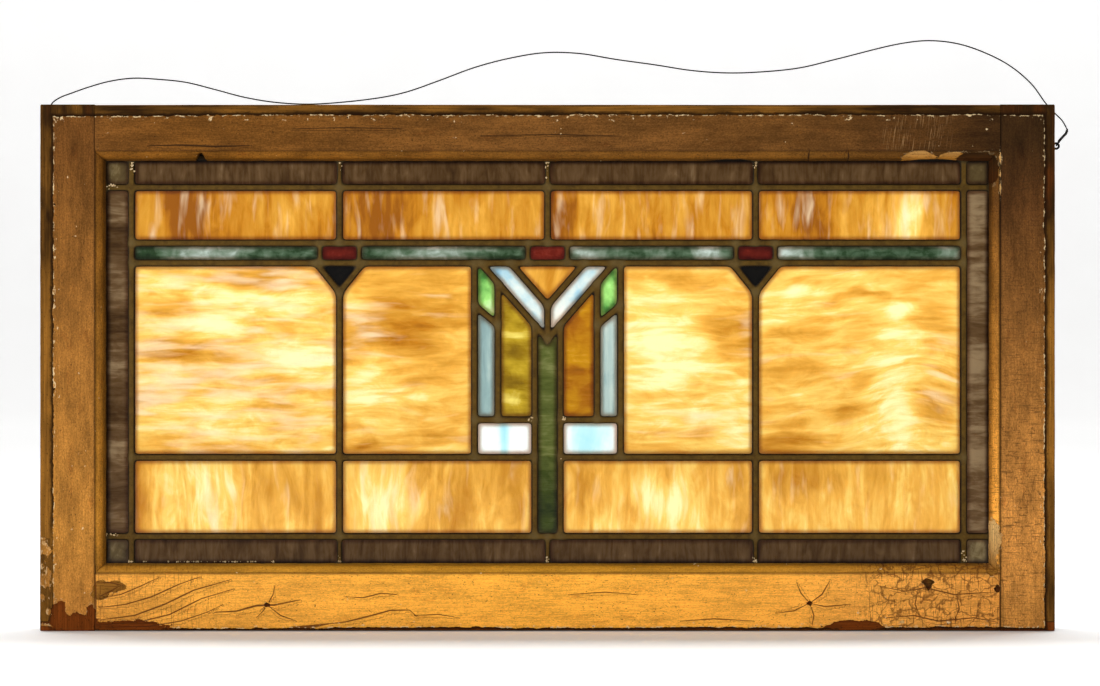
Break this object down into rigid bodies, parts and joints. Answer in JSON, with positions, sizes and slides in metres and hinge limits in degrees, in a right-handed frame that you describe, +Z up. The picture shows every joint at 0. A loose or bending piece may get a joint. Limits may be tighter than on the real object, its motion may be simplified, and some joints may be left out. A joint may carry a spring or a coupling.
{
  "type": "stained glass window",
  "caption": "Antique leaded glass transom window: opalescent amber panes, coloured border and a tree motif in lead came, in a worn painted wood sash with a hanging wire.",
  "frame": {"origin": "middle of the sash's lower edge, halfway through its thickness", "axes": "+X to the viewer's right along the sash, +Y away from the viewer through its thickness, +Z up"},
  "size_m": [0.9327, 0.0444, 0.536],
  "materials": {
    "stile_paint": "aged tan-brown oil paint, cracked and chipped",
    "top_rail_paint": "aged brown oil paint, worn",
    "bottom_rail_paint": "ochre oil paint with alligator cracks",
    "lead": "dull oxidised lead with solder at the joints",
    "putty": "dry crumbling putty",
    "iron": "dark rusted iron",
    "plum_glass": "opalescent, streaky, slightly rippled gloss",
    "smoke_glass": "opalescent, streaky, slightly rippled gloss",
    "amber_glass": "opalescent, streaky, slightly rippled gloss",
    "teal_glass": "opalescent, streaky, slightly rippled gloss",
    "red_glass": "opalescent, streaky, slightly rippled gloss",
    "black_glass": "opaque, glossy",
    "white_glass": "opalescent, streaky, slightly rippled gloss",
    "leaf_glass": "opalescent, streaky, slightly rippled gloss",
    "blue_glass": "opalescent, streaky, slightly rippled gloss",
    "olive_glass": "opalescent, streaky, slightly rippled gloss",
    "honey_glass": "opalescent, streaky, slightly rippled gloss",
    "aqua_glass": "opalescent, streaky, slightly rippled gloss",
    "stem_glass": "opalescent, streaky, slightly rippled gloss"
  },
  "bodies": {
    "root": {"left_stile": "stile_paint", "right_stile": "stile_paint", "top_rail": "top_rail_paint", "bottom_rail": "bottom_rail_paint", "lead_came": "lead", "border_top_1": "plum_glass", "border_top_2": "plum_glass", "border_top_3": "plum_glass", "border_top_4": "plum_glass", "border_bottom_1": "plum_glass", "border_bottom_2": "plum_glass", "border_bottom_3": "plum_glass", "border_bottom_4": "plum_glass", "border_side_left": "plum_glass", "border_side_right": "plum_glass", "corner_top_left": "smoke_glass", "corner_top_right": "smoke_glass", "corner_bottom_left": "smoke_glass", "corner_bottom_right": "smoke_glass", "amber_top_1": "amber_glass", "amber_top_2": "amber_glass", "amber_top_3": "amber_glass", "amber_top_4": "amber_glass", "amber_bottom_1": "amber_glass", "amber_bottom_2": "amber_glass", "amber_bottom_3": "amber_glass", "amber_bottom_4": "amber_glass", "amber_outer_left": "amber_glass", "amber_outer_right": "amber_glass", "amber_inner_left": "amber_glass", "amber_inner_right": "amber_glass", "fork_triangle": "amber_glass", "green_band_1": "teal_glass", "green_band_2": "teal_glass", "green_band_3": "teal_glass", "green_band_4": "teal_glass", "red_block_left": "red_glass", "red_block_centre": "red_glass", "red_block_right": "red_glass", "black_triangle_left": "black_glass", "black_triangle_right": "black_glass", "branch_left": "white_glass", "branch_right": "white_glass", "leaf_left": "leaf_glass", "leaf_right": "leaf_glass", "side_strip_left": "blue_glass", "side_strip_right": "blue_glass", "trunk_side_left": "olive_glass", "trunk_side_right": "honey_glass", "foot_left": "aqua_glass", "foot_right": "aqua_glass", "stem": "stem_glass", "glazing_putty": "putty", "screw_eye_left": "iron", "screw_eye_right": "iron", "hanging_wire": "iron", "wire_twist_left": "iron", "wire_twist_right": "iron"}
  },
  "joints": []
}
